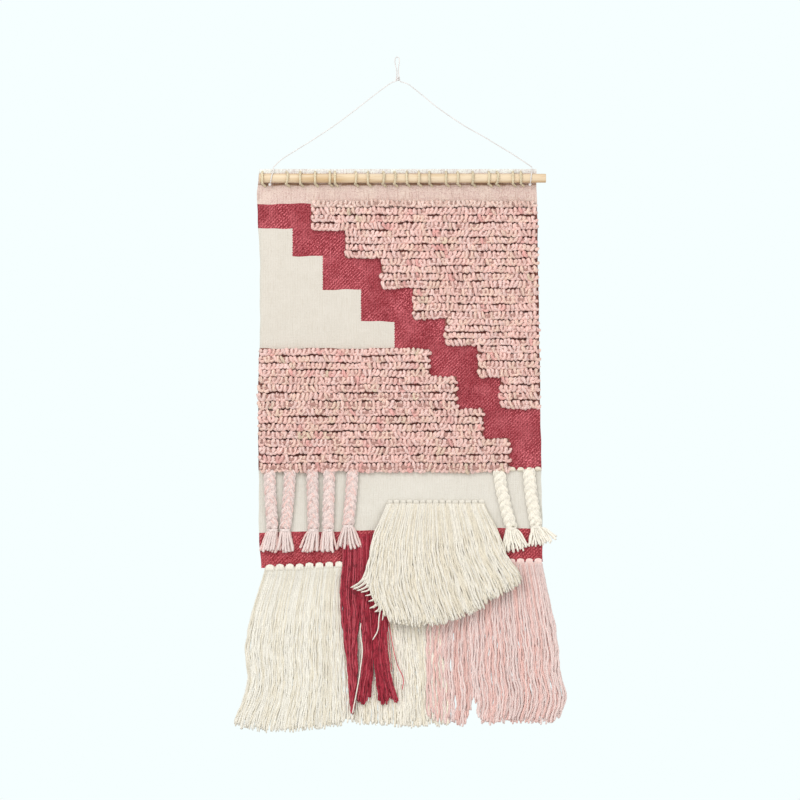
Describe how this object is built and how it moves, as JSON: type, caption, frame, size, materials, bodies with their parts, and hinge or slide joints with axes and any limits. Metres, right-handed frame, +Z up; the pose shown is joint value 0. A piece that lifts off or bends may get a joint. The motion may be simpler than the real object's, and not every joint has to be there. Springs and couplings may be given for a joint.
{
  "type": "tapestry wall hanging",
  "caption": "Woven wall hanging lashed to a wooden dowel on a twine hanger, with stepped looped-pile fields, plaits with tassels and layered yarn fringes.",
  "frame": {"origin": "the inner top of the twine's loop, where the nail carries the piece", "axes": "+Z up, the front faces -Y and the wall is on the +Y side, the dowel lies along X"},
  "size_m": [0.604, 0.0339, 1.2182],
  "materials": {
    "cream_weave": "matt flat weave",
    "cream_yarn": "matt soft yarn",
    "crimson_weave": "matt flat weave with pale flecks",
    "crimson_yarn": "matt soft yarn",
    "pink_weave": "matt flat weave",
    "pink_yarn": "matt bulky yarn",
    "string": "matt laid string",
    "twine": "matt twisted twine",
    "pale_wood": "sanded, unvarnished"
  },
  "bodies": {
    "hanger": {"hang_loop": "twine", "hang_knot": "twine", "hang_cord_left": "twine", "hang_cord_right": "twine"},
    "panel": {"tie_left": "twine", "tie_right": "twine", "lashing": "string", "header_band": "pink_weave", "crimson_stair": "crimson_weave", "cream_stair": "cream_weave", "upper_pile_ground": "crimson_weave", "lower_pile_ground": "crimson_weave", "cream_panel": "cream_weave", "crimson_band": "crimson_weave", "upper_pile_1": "pink_yarn", "upper_pile_2": "pink_yarn", "upper_pile_3": "pink_yarn", "upper_pile_4": "pink_yarn", "upper_pile_5": "pink_yarn", "upper_pile_6": "pink_yarn", "upper_pile_7": "pink_yarn", "lower_pile_1": "pink_yarn", "lower_pile_2": "pink_yarn", "lower_pile_3": "pink_yarn", "lower_pile_4": "pink_yarn", "left_knots": "cream_yarn", "centre_knots": "cream_yarn", "pink_knots": "pink_yarn", "cream_braid_knots": "cream_yarn", "fan_knots": "cream_yarn"},
    "rod": {"rod": "pale_wood"},
    "pink_braid_1": {"pink_braid_1_plait": "pink_yarn", "pink_braid_1_binding": "pink_yarn", "pink_braid_1_tassel": "pink_yarn"},
    "pink_braid_2": {"pink_braid_2_plait": "pink_yarn", "pink_braid_2_binding": "pink_yarn", "pink_braid_2_tassel": "pink_yarn"},
    "pink_braid_3": {"pink_braid_3_plait": "pink_yarn", "pink_braid_3_binding": "pink_yarn", "pink_braid_3_tassel": "pink_yarn"},
    "pink_braid_4": {"pink_braid_4_plait": "pink_yarn", "pink_braid_4_binding": "pink_yarn", "pink_braid_4_tassel": "pink_yarn"},
    "pink_braid_5": {"pink_braid_5_plait": "pink_yarn", "pink_braid_5_binding": "pink_yarn", "pink_braid_5_tassel": "pink_yarn"},
    "cream_braid_1": {"cream_braid_1_plait": "cream_yarn", "cream_braid_1_binding": "cream_yarn", "cream_braid_1_tassel": "cream_yarn"},
    "cream_braid_2": {"cream_braid_2_plait": "cream_yarn", "cream_braid_2_binding": "cream_yarn", "cream_braid_2_tassel": "cream_yarn"},
    "fan": {"fan_fringe": "cream_yarn"},
    "left_fringe": {"left_fringe": "cream_yarn"},
    "lower_fringe": {"centre_fringe": "cream_yarn", "pink_fringe": "pink_yarn"},
    "crimson_fringe": {"crimson_fringe_left": "crimson_yarn", "crimson_fringe_middle": "crimson_yarn", "crimson_fringe_right": "crimson_yarn"}
  },
  "joints": [
    {"name": "panel_tilt", "type": "hinge", "parent": "hanger", "child": "panel", "pos_m": [0, -0.00365, -0.1979], "axis": [-1, 0, 0], "range_deg": [0, 75]},
    {"name": "rod_slide", "type": "slide", "parent": "panel", "child": "rod", "axis": [1, 0, 0], "range_m": [-0.02, 0.5]},
    {"name": "pink_braid_1_lift", "type": "hinge", "parent": "panel", "child": "pink_braid_1", "pos_m": [-0.2293, -0.0076, -0.7503], "axis": [-1, 0, 0], "range_deg": [0, 120]},
    {"name": "pink_braid_2_lift", "type": "hinge", "parent": "panel", "child": "pink_braid_2", "pos_m": [-0.1926, -0.0076, -0.7503], "axis": [-1, 0, 0], "range_deg": [0, 120]},
    {"name": "pink_braid_3_lift", "type": "hinge", "parent": "panel", "child": "pink_braid_3", "pos_m": [-0.1523, -0.0076, -0.7503], "axis": [-1, 0, 0], "range_deg": [0, 120]},
    {"name": "pink_braid_4_lift", "type": "hinge", "parent": "panel", "child": "pink_braid_4", "pos_m": [-0.1219, -0.0076, -0.7503], "axis": [-1, 0, 0], "range_deg": [0, 120]},
    {"name": "pink_braid_5_lift", "type": "hinge", "parent": "panel", "child": "pink_braid_5", "pos_m": [-0.0803, -0.0076, -0.7503], "axis": [-1, 0, 0], "range_deg": [0, 120]},
    {"name": "cream_braid_1_lift", "type": "hinge", "parent": "panel", "child": "cream_braid_1", "pos_m": [0.184, -0.0076, -0.7503], "axis": [-1, 0, 0], "range_deg": [0, 120]},
    {"name": "cream_braid_2_lift", "type": "hinge", "parent": "panel", "child": "cream_braid_2", "pos_m": [0.2376, -0.0076, -0.7503], "axis": [-1, 0, 0], "range_deg": [0, 120]},
    {"name": "fan_lift", "type": "hinge", "parent": "panel", "child": "fan", "pos_m": [0.0685, -0.007, -0.8135], "axis": [-1, 0, 0], "range_deg": [0, 100]},
    {"name": "left_fringe_lift", "type": "hinge", "parent": "panel", "child": "left_fringe", "pos_m": [-0.172, 0.0045, -0.9275], "axis": [-1, 0, 0], "range_deg": [0, 70]},
    {"name": "crimson_lift", "type": "hinge", "parent": "panel", "child": "crimson_fringe", "pos_m": [-0.052, -0.0019, -0.895], "axis": [-1, 0, 0], "range_deg": [0, 70]},
    {"name": "lower_lift", "type": "hinge", "parent": "panel", "child": "lower_fringe", "pos_m": [0.083, 0.0045, -0.9215], "axis": [-1, 0, 0], "range_deg": [0, 60]}
  ],
  "couplings": [
    {"joint": "crimson_lift", "follows": "fan_lift", "ratio": 0.7},
    {"joint": "lower_lift", "follows": "fan_lift", "ratio": 0.6}
  ]
}
